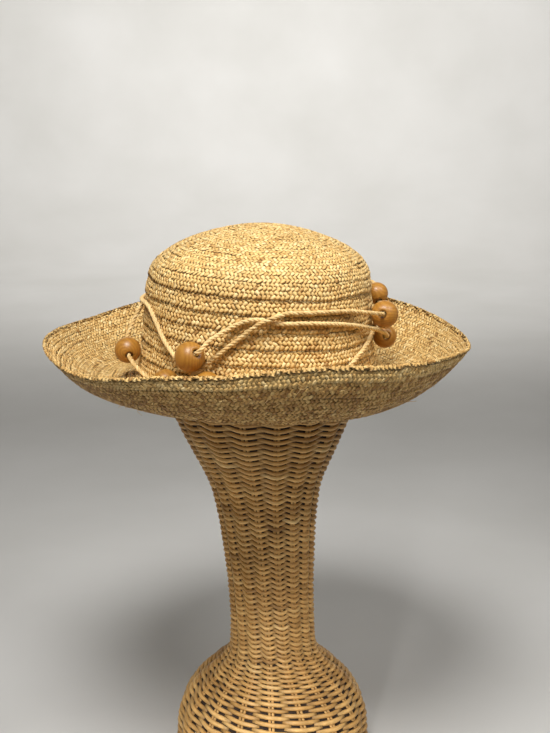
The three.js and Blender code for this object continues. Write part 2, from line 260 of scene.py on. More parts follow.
def ramp(tree, value, stops):
    node = put(tree, "ShaderNodeValToRGB", {0: value})
    while len(node.color_ramp.elements) < len(stops):
        node.color_ramp.elements.new(0.5)
    for element, (place, colour) in zip(node.color_ramp.elements, stops):
        element.position = place
        element.color = (*colour, 1)
    return node.outputs["Color"]


def spread(tree, value, low, high, fromLow=0.0, fromHigh=1.0):
    node = put(tree, "ShaderNodeMapRange", {0: value, 1: fromLow, 2: fromHigh, 3: low, 4: high})
    return node.outputs[0]


def tinted(tree, colour, value):  # colour multiplied by a grey value, in sockets 6 and 7
    grey = put(tree, "ShaderNodeCombineColor", {0: value, 1: value, 2: value}).outputs[0]
    node = put(tree, "ShaderNodeMix", data_type="RGBA", blend_type="MULTIPLY")
    node.inputs[0].default_value = 1
    tree.links.new(colour, node.inputs[6])
    tree.links.new(grey, node.inputs[7])
    return node.outputs[2]


def evenly(tree, noise, amount, middle=1):  # a noise value spread to both sides of the middle
    return spread(tree, noise, middle - amount, middle + amount, noiseLow, noiseHigh)


def linear(red, green, blue):  # from the 0 to 255 values a paint chart gives
    values = [v / 255 for v in (red, green, blue)]
    return tuple(v / 12.92 if v < 0.0404 else ((v + 0.055) / 1.055)**2.4 for v in values)


def fibreGroup():  # streaks that run along a strand, and patches along it
    group = bpy.data.node_groups.new("fibreStreaks", "ShaderNodeTree")
    group.interface.new_socket("Strand", in_out="INPUT", socket_type="NodeSocketVector")
    for label, way in (("Across", "INPUT"), ("Along", "INPUT"), ("Streak", "OUTPUT"), ("Patch", "OUTPUT")):
        group.interface.new_socket(label, in_out=way, socket_type="NodeSocketFloat")
    start = put(group, "NodeGroupInput").outputs
    sizes = {0: start["Across"], 1: start["Across"], 2: start["Along"]}
    scale = put(group, "ShaderNodeCombineXYZ", sizes).outputs[0]
    sized = {0: start["Strand"], 1: scale}
    place = put(group, "ShaderNodeVectorMath", sized, operation="MULTIPLY").outputs[0]
    fine = put(group, "ShaderNodeTexNoise", {"Vector": place, "Scale": 1, "Detail": 4, "Roughness": 0.6})
    wide = put(group, "ShaderNodeTexNoise", {"Vector": start["Strand"], "Scale": 0.22, "Detail": 2})
    end = put(group, "NodeGroupOutput")
    group.links.new(fine.outputs[0], end.inputs["Streak"])
    group.links.new(wide.outputs[0], end.inputs["Patch"])
    return group


fibreStreaks = fibreGroup()
strandFinish = {"edgeFrom": 0.7, "endFrom": 0.5, "roughSpread": 0.1, "cloudDetail": 3}  # of all strands


def plainMaterial(name):
    mat = bpy.data.materials.new(name)
    mat.use_nodes = True
    return mat, mat.node_tree, mat.node_tree.nodes["Principled BSDF"]


def strandMaterial(name, spec):
    mat, tree, shader = plainMaterial(name)
    strand = put(tree, "ShaderNodeAttribute", attribute_name="strand").outputs["Vector"]
    look = put(tree, "ShaderNodeAttribute", attribute_name="look").outputs["Vector"]
    parts = put(tree, "ShaderNodeSeparateXYZ", {0: look}).outputs
    group = put(tree, "ShaderNodeGroup", node_tree=fibreStreaks)
    tree.links.new(strand, group.inputs["Strand"])
    group.inputs["Across"].default_value = spec["across"]
    group.inputs["Along"].default_value = spec["along"]
    streak = group.outputs["Streak"]
    colour = ramp(tree, parts[0], spec["tints"])
    colour = tinted(tree, colour, evenly(tree, streak, spec["streak"]))
    colour = tinted(tree, colour, evenly(tree, group.outputs["Patch"], spec["patch"]))
    # painted shade: darker towards each strand's edges, where it meets its neighbours, and towards its ends,
    # where it tucks under them or goes behind a stake; the edges carry some dirt as well
    edge = put(tree, "ShaderNodeMath", {0: parts[1]}, operation="ABSOLUTE").outputs[0]
    colour = tinted(tree, colour, spread(tree, edge, 1, spec["edge"], strandFinish["edgeFrom"], 1))
    end = put(tree, "ShaderNodeMath", {0: parts[2]}, operation="ABSOLUTE").outputs[0]
    colour = tinted(tree, colour, spread(tree, end, 1, spec["end"], strandFinish["endFrom"], 1))
    place = put(tree, "ShaderNodeTexCoord").outputs["Object"]
    cloudLook = {"Vector": place, "Scale": spec["cloudScale"], "Detail": strandFinish["cloudDetail"]}
    cloud = put(tree, "ShaderNodeTexNoise", cloudLook).outputs[0]
    aged = tinted(tree, colour, evenly(tree, cloud, spec["cloud"]))
    tree.links.new(aged, shader.inputs["Base Color"])
    rough = evenly(tree, streak, strandFinish["roughSpread"], spec["rough"])
    tree.links.new(rough, shader.inputs["Roughness"])
    bump = put(tree, "ShaderNodeBump", {"Strength": spec["bump"], "Distance": spec["bumpHeight"] * mm})
    tree.links.new(streak, bump.inputs["Height"])
    tree.links.new(bump.outputs[0], shader.inputs["Normal"])
    shader.inputs["Specular IOR Level"].default_value = spec["shine"]
    return mat


# edge and end: painted shade where the straws meet and tuck under their neighbours, with some dirt at the
# edges
strawFinish = {
    "tints": [(0.0, linear(164, 120, 62)), (0.25, linear(203, 160, 93)), (0.6, linear(222, 184, 116)),
              (1.0, linear(239, 209, 148))],
    "across": 3.2, "along": 0.16, "streak": 0.13, "patch": 0.08, "edge": 0.84, "end": 0.7,
    "cloud": 0.07, "cloudScale": 22, "rough": 0.58, "bump": 0.45, "bumpHeight": 0.25, "shine": 0.4,
}
stringFinish = {
    "tints": [(0.0, linear(178, 140, 84)), (0.5, linear(212, 178, 118)), (1.0, linear(232, 203, 148))],
    "across": 3.6, "along": 0.35, "streak": 0.2, "patch": 0.1, "edge": 1, "end": 1,
    "cloud": 0.06, "cloudScale": 60, "rough": 0.68, "bump": 0.6, "bumpHeight": 0.25, "shine": 0.3,
}
# end: painted shade where the canes go behind the stakes
wickerFinish = {
    "tints": [(0.0, linear(140, 100, 50)), (0.4, linear(186, 142, 80)), (0.75, linear(208, 166, 102)),
              (1.0, linear(226, 190, 128))],
    "across": 1.6, "along": 0.12, "streak": 0.2, "patch": 0.14, "edge": 1, "end": 0.55,
    "cloud": 0.12, "cloudScale": 14, "rough": 0.5, "bump": 0.5, "bumpHeight": 0.3, "shine": 0.45,
}
straw = strandMaterial("strawBraid", strawFinish)
twine = strandMaterial("strawTwine", stringFinish)
wicker = strandMaterial("wickerCane", wickerFinish)
underFinish = {
    "scale": 420, "detail": 4, "low": 0.25, "high": 0.75, "bump": 0.5, "bumpHeight": 0.4, "rough": 0.85,
}


def underMaterial(name, colour, depth):  # the dark layer seen through the gaps of a weave: painted shade in the gaps
    mat, tree, shader = plainMaterial(name)
    place = put(tree, "ShaderNodeTexCoord").outputs["Object"]
    spec = underFinish
    grainLook = {"Vector": place, "Scale": spec["scale"], "Detail": spec["detail"]}
    grain = put(tree, "ShaderNodeTexNoise", grainLook).outputs[0]
    dim = tuple(c * depth for c in colour)
    tone = ramp(tree, grain, [(spec["low"], dim), (spec["high"], colour)])
    tree.links.new(tone, shader.inputs["Base Color"])
    relief = {"Strength": spec["bump"], "Distance": spec["bumpHeight"] * mm, "Height": grain}
    bump = put(tree, "ShaderNodeBump", relief)
    tree.links.new(bump.outputs[0], shader.inputs["Normal"])
    shader.inputs["Roughness"].default_value = spec["rough"]
    return mat


# painted shade: the straw's underlayer is coloured darker than the straws
strawUnder = underMaterial("strawUnderlayer", linear(166, 127, 74), 0.62)
wickerUnder = underMaterial("wickerShade", linear(46, 29, 14), 0.5)

beadFinish = {
    "across": 2.2, "along": 0.18,
    "rings": {"Scale": 0.16, "Distortion": 3.2, "Detail": 2, "Detail Scale": 0.5},
    "bands": [(0.0, linear(156, 105, 36)), (0.5, linear(165, 113, 40)), (1.0, linear(171, 120, 46))],
    "streak": (0.84, 1.12), "tone": (0.84, 1.03), "hole": (1, 0.5), "holeFrom": 0.2, "rough": (0.32, 0.5),
    "bump": 0.25, "bumpHeight": 0.15, "coat": 0.05, "coatRough": 0.3,
}


def beadMaterial(spec):
    mat, tree, shader = plainMaterial("turnedWood")
    grain = put(tree, "ShaderNodeAttribute", attribute_name="strand").outputs["Vector"]
    look = put(tree, "ShaderNodeAttribute", attribute_name="look").outputs["Vector"]
    parts = put(tree, "ShaderNodeSeparateXYZ", {0: look}).outputs
    group = put(tree, "ShaderNodeGroup", node_tree=fibreStreaks)
    tree.links.new(grain, group.inputs["Strand"])
    group.inputs["Across"].default_value = spec["across"]
    group.inputs["Along"].default_value = spec["along"]
    streak = group.outputs["Streak"]
    ringLook = dict(spec["rings"], Vector=grain)
    rings = put(tree, "ShaderNodeTexWave", ringLook, wave_type="RINGS", rings_direction="Z")
    bands = ramp(tree, rings.outputs["Fac"], spec["bands"])
    colour = tinted(tree, bands, spread(tree, streak, *spec["streak"], noiseLow, noiseHigh))
    colour = tinted(tree, colour, spread(tree, parts[0], *spec["tone"]))
    # painted shade: darker near the hole, inside the bead's bore
    hole = put(tree, "ShaderNodeMath", {0: parts[1]}, operation="ABSOLUTE").outputs[0]
    colour = tinted(tree, colour, spread(tree, hole, *spec["hole"], spec["holeFrom"], 1))
    tree.links.new(colour, shader.inputs["Base Color"])
    tree.links.new(spread(tree, streak, *spec["rough"], noiseLow, noiseHigh), shader.inputs["Roughness"])
    relief = {"Strength": spec["bump"], "Distance": spec["bumpHeight"] * mm, "Height": streak}
    bump = put(tree, "ShaderNodeBump", relief)
    tree.links.new(bump.outputs[0], shader.inputs["Normal"])
    shader.inputs["Coat Weight"].default_value = spec["coat"]
    shader.inputs["Coat Roughness"].default_value = spec["coatRough"]
    return mat


turnedWood = beadMaterial(beadFinish)
print("materials ready")


braid = {  # each straw is one arched sliver, tucked under its neighbours at both ends
    "row": 12.3,  # width of a sewn row
    "bands": 4,  # straws lean / and \ by turns across one row
    "pitch": 3.5,  # along the row from straw to straw
    "length": 6.7, "width": 3.15, "lean": 45, "arch": 0.25,
    "droop": 0.56,  # how far the ends go down
    "roundness": 0.06,
    "step": 0.95,  # a row's free edge over its tucked one
    "firm": (0.4, 0.9),  # how far the edges of the crown's turns stand out
    "firmRows": {8: 0.5, 9: 1.75, 10: 0.8, 11: 1.1, 12: 0.9, 13: 1.3},  # turns given one by one
    "stepRun": [0, 88, 100, 200],  # the top of the crown is smoother than the wall
    "stepShare": [0.08, 0.12, 1, 1],
    "brimStep": 0.5, "brimRows": 8,
    "crownTurns": {"first": 0.35, "past": 0.6, "samples": 6000, "rows": 20, "firstStraw": 2},
    "topGap": 0.8, "edgeGap": 1.2, "leastRadius": 2.5,
    "start": 129,  # bearing where the spiral of the crown begins
    "fold": {"row": 6, "bearing": -106, "reach": 8, "lift": 2.0},  # a row that stands up on the left
    "level": -0.5,
    "wave": 1.0,  # how unevenly the rows run
    "tint": 0.55,
    "shade": 0.33,  # painted shade: the underside's straws get a darker tint, as the underside lies in shade
    "taper": 0.16,
    "dropPower": 2.6,  # flat in the middle, bent at the ends
    "leanSpread": 8, "sizeSpread": 0.1, "twistSpread": 0.09, "runSpread": 0.25, "offSpread": 0.09,
    "tintSpread": 0.2,
}


def strawShape():
    bm = bmesh.new()
    bmesh.ops.create_grid(bm, x_segments=3, y_segments=2, size=1)
    for v in bm.verts:  # bent only to tell its two sides apart
        v.co.z = -0.4 * v.co.x**2 - 0.1 * v.co.y**2
    border = [e for e in bm.edges if e.is_boundary]
    under = bmesh.ops.holes_fill(bm, edges=border, sides=0)["faces"]
    bmesh.ops.triangulate(bm, faces=under)
    bmesh.ops.recalc_face_normals(bm, faces=bm.faces)
    bm.verts.index_update()
    places = np.array([v.co[:2] for v in bm.verts])
    faces = [[v.index for v in f.verts] for f in bm.faces]
    bm.free()
    return places, faces


sliverPlaces, sliverFaces = strawShape()


def unevenRows(count, amount):  # a slow wander for each row, closed after a turn
    waves = 4
    phase = rng.uniform(0, fullTurn, (count, waves))
    size = rng.uniform(0.3, 1, (count, waves)) * amount / 2

    def wander(row, bearing):
        turn = np.radians(bearing)
        row = np.clip(row.astype(int), 0, count - 1)
        return sum(size[row, k] * np.sin(turn * (2 + 3 * k) + phase[row, k]) for k in range(waves))
    return wander


def layStraws(name, face, bed, spec, side=1):
    u = sliverPlaces[:, 0]
    v = sliverPlaces[:, 1]
    count = len(bed["run"])

    def vary(amount):  # one value for each straw
        return rng.normal(0, amount, count)[:, None]

    lean = np.radians(bed["lean"][:, None] + vary(spec["leanSpread"]))
    length = spec["length"] * (1 + vary(spec["sizeSpread"])) / 2
    width = spec["width"] * (1 + vary(spec["sizeSpread"])) / 2
    taper = 1 - spec["taper"] * u**2
    twist = vary(spec["twistSpread"])
    along = u * length * np.cos(lean) - v * taper * width * np.sin(lean)
    across = u * length * np.sin(lean) + v * taper * width * np.cos(lean)
    run = bed["run"][:, None] + across + vary(spec["runSpread"])
    bearing = bed["bearing"][:, None] + np.degrees(along / bed["radius"][:, None])
    off = bed["level"][:, None] + bed["tilt"][:, None] * across
    drop = (spec["arch"] + spec["droop"]) * np.abs(u)**spec["dropPower"]
    off = off + spec["arch"] - drop - spec["roundness"] * v**2 + twist * v
    off = off + vary(spec["offSpread"])
    if side < 0:
        off = -hatShape["wall"] - off
    points = onHat(offFace(face, run, bearing, off)).reshape(-1, 3)
    step = len(u)
    faces = [[i * step + j for j in f] for i in range(count) for f in sliverFaces]
    if side < 0:
        faces = [f[::-1] for f in faces]
    mesh = bpy.data.meshes.new(name)
    mesh.from_pydata(points.tolist(), [], faces)
    shift = rng.uniform(-strandShift, strandShift, (count, 1))
    strand = np.stack([v * width + shift, np.zeros_like(run), u * length + strandSkew * shift], -1)
    tint = np.clip(rng.normal(0, spec["tintSpread"], count) + bed["tint"], 0, 1)
    look = np.stack(np.broadcast_arrays(tint[:, None], v[None], u[None]), -1)
    giveLook(mesh, strand.reshape(-1, 3), look.reshape(-1, 3))
    return mesh


def bandsAcross(spec, width):  # middle of each band across a row, and the side its straws lean to
    middle = (spec["bands"] - 1) / 2
    return [((k - middle) * width / spec["bands"], 1 - 2 * (k % 2)) for k in range(spec["bands"])]


def bandBed(runs, bearings, radii, side, offset, row, spec, wander, steps):
    run = runs + offset + wander(row, bearings)
    tilt = steps / spec["row"]
    lean = np.full(len(run), side * spec["lean"])
    return {"run": run, "bearing": bearings, "radius": np.maximum(radii, spec["leastRadius"]), "lean": lean,
            "level": spec["level"] + tilt * offset, "tilt": tilt, "tint": np.full(len(run), spec["tint"])}


def joinBeds(beds):
    return {key: np.concatenate([bed[key] for bed in beds]) for key in beds[0]}


def crownBed(spec):  # one long braid sewn in a spiral from the middle of the top
    turns = spec["crownTurns"]
    lap = np.linspace(turns["first"], crownEnd / spec["row"] + turns["past"], turns["samples"])
    reach = np.interp(lap[1:] * spec["row"], crownRun, crownLine[:, 0])
    length = np.concatenate([[0], np.cumsum(reach * np.diff(lap) * fullTurn)])
    places = np.arange(turns["firstStraw"], length[-1], spec["pitch"])
    wander = unevenRows(turns["rows"], spec["wave"])
    firm = rng.uniform(*spec["firm"], turns["rows"])
    for row, value in spec["firmRows"].items():
        firm[row] = value
    beds = []
    for offset, side in bandsAcross(spec, spec["row"]):
        at = np.interp(places + (spec["pitch"] / 2 if side < 0 else 0), length, lap)
        run = at * spec["row"] - spec["row"] / 2
        keep = (run + offset < crownEnd - spec["edgeGap"]) & (run + offset > spec["topGap"])
        run = run[keep]
        at = at[keep]
        radii = np.interp(run + offset, crownRun, crownLine[:, 0])
        steps = spec["step"] * np.interp(run, spec["stepRun"], spec["stepShare"])
        steps = steps * np.interp(np.floor(at), np.arange(len(firm)), firm)
        bearings = at * 360 + spec["start"]
        beds.append(bandBed(run, bearings, radii, side, offset, np.floor(at), spec, wander, steps))
    return joinBeds(beds)


def brimBed(spec, flip=1):
    rows = spec["brimRows"]
    width = brimEnd / rows
    wander = unevenRows(rows, spec["wave"])
    beds = []
    for row in range(rows):
        middle = (row + 0.5) * width
        radius = np.interp(middle, brimRun, brimLine[:, 0])
        count = round(fullTurn * radius / spec["pitch"])
        bearings = (np.arange(count) + rng.uniform(0, 1)) * 360 / count - 180
        for offset, side in bandsAcross(spec, width):
            turned = bearings + (180 / count if side < 0 else 0)
            radii = np.full(count, np.interp(middle + offset, brimRun, brimLine[:, 0]))
            steps = np.full(count, spec["step"] * spec["brimStep"])
            if flip > 0 and row == spec["fold"]["row"]:
                away = (turned - spec["fold"]["bearing"]) / spec["fold"]["reach"]
                steps = steps + spec["fold"]["lift"] * np.exp(-away**2)
            runs = np.full(count, middle)
            bed = bandBed(runs, turned, radii, side, offset, np.full(count, row), spec, wander, steps)
            bed["level"] = spec["level"] + flip * (bed["level"] - spec["level"])
            bed["tilt"] = flip * bed["tilt"]
            # painted shade: the underside's rows get a darker straw tint, all but the lit outermost row
            if flip < 0 and row < rows - 1:
                bed["tint"] = bed["tint"] - spec["shade"]
            inside = bed["run"] < brimEnd - spec["edgeGap"]
            beds.append({key: value[inside] for key, value in bed.items()})
    return joinBeds(beds)


def rimBed(spec):  # the edge row, straws folded round the rim
    radius = brimLine[-1, 0]
    count = round(fullTurn * radius / spec["pitch"])
    run = rng.normal(0, spec["edgeSpread"], count)
    return {"run": run, "bearing": np.arange(count) * 360 / count - 180, "radius": np.full(count, radius),
            "lean": np.full(count, spec["lean"]), "level": np.zeros(count), "tilt": np.zeros(count),
            "tint": np.full(count, spec["tint"])}


underlayer = {  # how far the two faces of the layer lie under the braid's face
    "stops": 34,
    "crown": {"outer": -0.95, "inner": -2.3, "steps": 72},
    "brim": {"outer": -0.85, "inner": -1.45, "steps": 96},
}


def strawSkin(name, part, line, run):  # the layer under the straws, a closed turned shell
    bm = bmesh.new()
    spec = underlayer[part]
    onBrim = part == "brim"
    stops = np.linspace(0, run[-1] if onBrim else crownEnd, underlayer["stops"])
    wall, side = profileAlong(line, run, stops)
    rows = [wall + side * spec[face] for face in ("outer", "inner")]
    profile = np.vstack([rows[0], rows[1][::-1]])
    if not onBrim:
        profile[0, 0] = profile[-1, 0] = 0
    spinRound(bm, [(p[0], 0, p[1]) for p in profile], spec["steps"], (0, 0, 1), onBrim)
    places = np.array([v.co for v in bm.verts])
    reach = np.hypot(places[:, 0], places[:, 1])
    bearing = np.degrees(np.arctan2(places[:, 0], -places[:, 1]))
    if onBrim:
        places = brimPlace(reach, places[:, 2], bearing)
    else:
        places[:, 0] += crownLean(places[:, 2])
    for v, place in zip(bm.verts, onHat(places)):
        v.co = place
    return meshFrom(bm, name)


crownSkin = strawSkin("crown_underlayer", "crown", crownLine, crownRun)
piece("crown_underlayer", crownSkin, strawUnder)
crownMesh = layStraws("crown_braid", crownFace, crownBed(braid), braid)
crownStraws = piece("crown_braid", crownMesh, straw)
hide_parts("crown")
print("crown braided:", len(crownStraws.data.polygons), "faces")

brimSkin = strawSkin("brim_underlayer", "brim", brimLine, brimRun)
piece("brim_underlayer", brimSkin, strawUnder)
brimTop = piece("brim_braid", layStraws("brim_braid", brimFace, brimBed(braid), braid), straw)
underSpec = dict(braid, pitch=3.35, length=6.3, width=3.0)  # finer straws show below
underMesh = layStraws("brim_braid_below", brimFace, brimBed(underSpec, -1), underSpec, -1)
brimUnder = piece("brim_braid_below", underMesh, straw)
rimSpec = dict(braid, pitch=3.528, length=10.4, width=4.9, lean=41.0, arch=0.2, droop=0.12, tint=0.4)
rimSpec["edgeSpread"] = 0.15
piece("brim_rim", layStraws("brim_rim", rimFace, rimBed(rimSpec), rimSpec), straw)
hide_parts("brim")
print("brim braided:", len(brimTop.data.polygons) + len(brimUnder.data.polygons), "faces")


def rods(name, lines, radius, sides, tints, sizes=None, closed=False):  # bent rods, along lines in metres
    curve = bpy.data.curves.new(name, "CURVE")
    curve.dimensions = "3D"
    curve.bevel_depth = radius
    curve.bevel_resolution = (sides - 4) // 2
    for line, size in zip(lines, sizes or [1] * len(lines)):
        spline = curve.splines.new("POLY")
        spline.points.add(len(line) - 1)
        spline.points.foreach_set("co", np.hstack([line, np.ones((len(line), 1))]).ravel())
        spline.points.foreach_set("radius", np.full(len(line), size))
        spline.use_cyclic_u = closed
    obj = bpy.data.objects.new(name, curve)
    toScene(obj)
    mesh = bpy.data.meshes.new_from_object(obj.evaluated_get(bpy.context.evaluated_depsgraph_get()))
    bpy.data.objects.remove(obj)
    bpy.data.curves.remove(curve)
    bm = bmesh.new()
    bm.from_mesh(mesh)
    bmesh.ops.holes_fill(bm, edges=[e for e in bm.edges if e.is_boundary], sides=0)  # the cut ends
    bmesh.ops.recalc_face_normals(bm, faces=bm.faces)
    bm.to_mesh(mesh)
    bm.free()
    strand = []
    look = []
    turn = np.arange(sides) * fullTurn / sides
    for line, tint in zip(lines, tints):
        run = measured(line) / mm
        shift = rng.uniform(-strandShift, strandShift)
        ring = np.stack([np.cos(turn), np.sin(turn)], 1) * radius / mm + shift
        along = np.repeat(run + strandSkew * shift, sides)[:, None]
        strand.append(np.concatenate([np.tile(ring, (len(line), 1)), along], 1))
        end = np.repeat(np.abs(run / run[-1] * 2 - 1), sides)
        look.append(np.stack([np.full(len(end), tint), np.zeros(len(end)), end], 1))
    giveLook(mesh, np.vstack(strand), np.vstack(look))
    return mesh


looseStraws = {
    "count": 54, "points": 6, "radius": 0.17, "length": (4, 11), "lift": (0.8, 3.2), "bend": 0.8,
    "liftPower": 1.5, "root": 0.3, "tints": (0.6, 1),
    "every": 3,  # one in three is on the crown
    "crown": {"run": (84, 168), "degrees": 0.64, "lift": 0.6},
    "brim": {"run": (40, 90), "lastRun": 91, "bearing": (5, 60), "degrees": 0.4},
}


def looseEnds(spec):  # fine ends that stand out of the braid, most of them on the front of the brim
    crown = spec["crown"]
    brim = spec["brim"]
    lines = []
    for k in range(spec["count"]):
        t = np.linspace(0, 1, spec["points"])
        length = rng.uniform(*spec["length"])
        lift = rng.uniform(*spec["lift"])
        heading = rng.uniform(0, fullTurn)
        bend = rng.normal(0, spec["bend"])
        ahead = length * t * np.cos(heading + bend * t)
        aside = length * t * np.sin(heading + bend * t)
        off = lift * t**spec["liftPower"] - spec["root"]
        if k % spec["every"] == spec["every"] - 1:
            run = rng.uniform(*crown["run"])
            bearing = rng.uniform(-180, 180)
            place = offFace(crownFace, run + aside, bearing + ahead * crown["degrees"], off * crown["lift"])
        else:
            run = rng.uniform(*brim["run"])
            bearing = rng.normal(*brim["bearing"]) + ahead * brim["degrees"]
            run = run + np.minimum(aside, brim["lastRun"] - run)
            place = offFace(brimFace, run, bearing, -hatShape["wall"] - off)
        lines.append(onHat(place))
    return lines


looseLines = looseEnds(looseStraws)
looseTints = rng.uniform(*looseStraws["tints"], len(looseLines))
looseMesh = rods("loose_straws", looseLines, looseStraws["radius"] * mm, strawSides, looseTints)
piece("loose_straws", looseMesh, straw)
print("loose straw ends:", len(looseLines))


string = {
    "reach": 0.9,  # from the middle of the string to the middle of a ply
    "ply": 1.0,  # radius of a ply
    "plies": 3,
    "twist": 11,  # length of one full twist
    "stride": 1.15,  # from point to point along a ply
    "uneven": {"turn": 0.35, "turnLength": 17, "reach": 0.05, "reachLength": 6.1},
    "tints": (0.35, 0.8),
    "wallRadius": 77,  # the crown's wall starts here
    "bearingLength": 1.66,  # of a degree on the wall
    "beadShape": 0.88,  # length over width
    "beadRun": 3,  # straight run past a bead's end
    "turns": {  # bearing, height and lift off the crown; a bead has a name, slope, width and turn as well
        "string_turn_1": [
            (-19.4, 12.2, 11.4, "bead_front_low_right", -4, 21, 0), (-4, 9.5, 6), (10, 9.5, 2.4),
            (26, 13, 2.4), (46, 21.4, 2.3), (52.8, 27.2, 2.3), (60, 32.8, 2.3), (66.6, 37.5, 2.3),
            (72.4, 41.6, 2.3), (80, 46, 2.3), (87, 49.5, 2.8), (94.5, 53, 5.5),
            (106, 62, 9.9, "bead_right_top", 40, 18.6, 0), (120, 69, 4.5), (136, 67.5, 2.4),
            (158, 63.5, 2.3), (179.6, 61.5, 2.3),
        ],
        "string_turn_2": [
            (-179.6, 61.5, 2.3), (-150, 59, 2.3), (-120, 57, 2.3), (-95, 56.4, 2.3), (-79, 58.2, 2.3),
            (-66.1, 58.4, 2.3), (-59.8, 53.7, 2.3), (-54, 46.9, 2.4), (-49.2, 40.9, 3.2),
            (-44.6, 36.2, 4.8), (-27.6, 31.7, 12, "bead_front", 28, 22.4, -24), (-19.4, 44.6, 13.4),
            (-16.6, 48.8, 8.2), (-12.9, 52.8, 4.2), (-8.9, 56.7, 2.6), (-3.8, 59.8, 2.3), (1.4, 60.7, 2.2),
            (4.9, 59.4, 2.2), (9.2, 58, 2.2), (23, 57.6, 2.3), (39, 55.3, 2.3), (52, 51.8, 2.6),
            (62, 48, 4.4), (72, 43.4, 7.8), (94, 31, 10, "bead_right_low", -14, 19, 0), (110, 24, 5.5),
            (130, 25, 2.4), (155, 34, 2.3), (179.6, 42, 2.3),
        ],
        "string_turn_3": [
            (-179.6, 42, 2.3), (-150, 46.8, 2.3), (-122, 50.6, 2.3), (-104, 51.8, 2.4), (-96, 50.4, 3),
            (-91.5, 45, 5.2), (-89.5, 38, 7.6), (-75.5, 20, 10.8, "bead_left", -16, 20.6, 0),
            (-60.5, 12.8, 10.8), (-51.5, 9.4, 11), (-39, 8.8, 11.4, "bead_front_low_left", 8, 21, 0),
            (-26.4, 18, 6), (-20, 28.6, 4.2), (-13.5, 38.4, 3), (-6.9, 47.5, 2.8), (-3.5, 52.2, 3.4),
            (-0.2, 56.8, 5), (2.9, 60.1, 6.4), (6.2, 62.3, 6.4), (9.5, 64.1, 5), (13.4, 65.4, 2.9),
            (24, 65.2, 2.3), (36, 64.8, 2.3), (48, 63.2, 2.6), (58, 60.8, 6),
            (75, 55.4, 11.2, "bead_right_middle", -10, 21.4, 0), (90, 49, 10), (104, 44, 3.4),
            (120, 43, 2.3), (145, 48, 2.3), (168, 51.5, 2.3),
        ],
    },
}
wallTable = crownTable[crownTable[:, 0] > string["wallRadius"]][::-1]


def onCrown(bearing, height, lift):
    radius = np.interp(height, wallTable[:, 1], wallTable[:, 0]) + lift
    return polar(crownLean(height), radius, bearing, height)


def beadAxis(row):
    turn = math.radians(row[0] + row[6])
    slope = math.radians(row[4])
    return np.array([math.cos(turn) * math.cos(slope), math.sin(turn) * math.cos(slope), math.sin(slope)])


def stringPath(rows, spec):
    flat = []
    for row in rows:
        if len(row) == 3:
            flat.append(row)
            continue
        reach = row[5] * spec["beadShape"] / 2 + spec["beadRun"]
        for run in (-reach, 0, reach):
            x, y, z = onCrown(*row[:3]) + beadAxis(row) * run
            x -= crownLean(z)
            bearing = math.degrees(math.atan2(x, -y))
            bearing += 360 * round((row[0] - bearing) / 360)
            flat.append((bearing, z, math.hypot(x, y) - np.interp(z, wallTable[:, 1], wallTable[:, 0])))
    line = loosePath(np.array(flat) * [spec["bearingLength"], 1, 1])
    return onCrown(line[:, 0] / spec["bearingLength"], line[:, 1], line[:, 2])


def twistedPlies(path, spec):  # the plies wind round the path
    run = measured(path)
    stops = np.linspace(0, run[-1], int(run[-1] / spec["stride"]))
    path = np.stack([np.interp(stops, run, path[:, k]) for k in range(3)], 1)
    ahead = unit(np.gradient(path, axis=0))
    out = path * [1, 1, 0]
    out = unit(out - ahead * np.sum(out * ahead, axis=1, keepdims=True))
    side = np.cross(ahead, out)
    uneven = spec["uneven"]
    plies = []
    for k in range(spec["plies"]):
        turn = (stops / spec["twist"] + k / spec["plies"]) * fullTurn
        turn = turn + uneven["turn"] * np.sin(stops / uneven["turnLength"] + k)
        reach = spec["reach"] * (1 + uneven["reach"] * np.sin(stops / uneven["reachLength"] + 2 * k))
        around = out * np.cos(turn)[:, None] + side * np.sin(turn)[:, None]
        plies.append(onHat(path + around * reach[:, None]))
    return plies


for name, rows in string["turns"].items():
    plies = twistedPlies(stringPath(rows, string), string)
    tints = rng.uniform(*string["tints"], string["plies"])
    turn = piece("twisted_" + name, rods(name, plies, string["ply"] * mm, caneSides, tints), twine)
    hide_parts(name)
print("string twisted in", len(string["turns"]), "turns")


bead = {
    "hole": 2.7, "lip": 0.5, "lipDrop": 0.12, "inner": 0.4, "steps": 40, "arc": 65, "arcPoints": 15,
    "grainTurn": (0, 6), "grainLean": (0.6, 1.3), "grainShift": 9, "tints": (0.2, 0.9), "holeShade": 1.6,
}


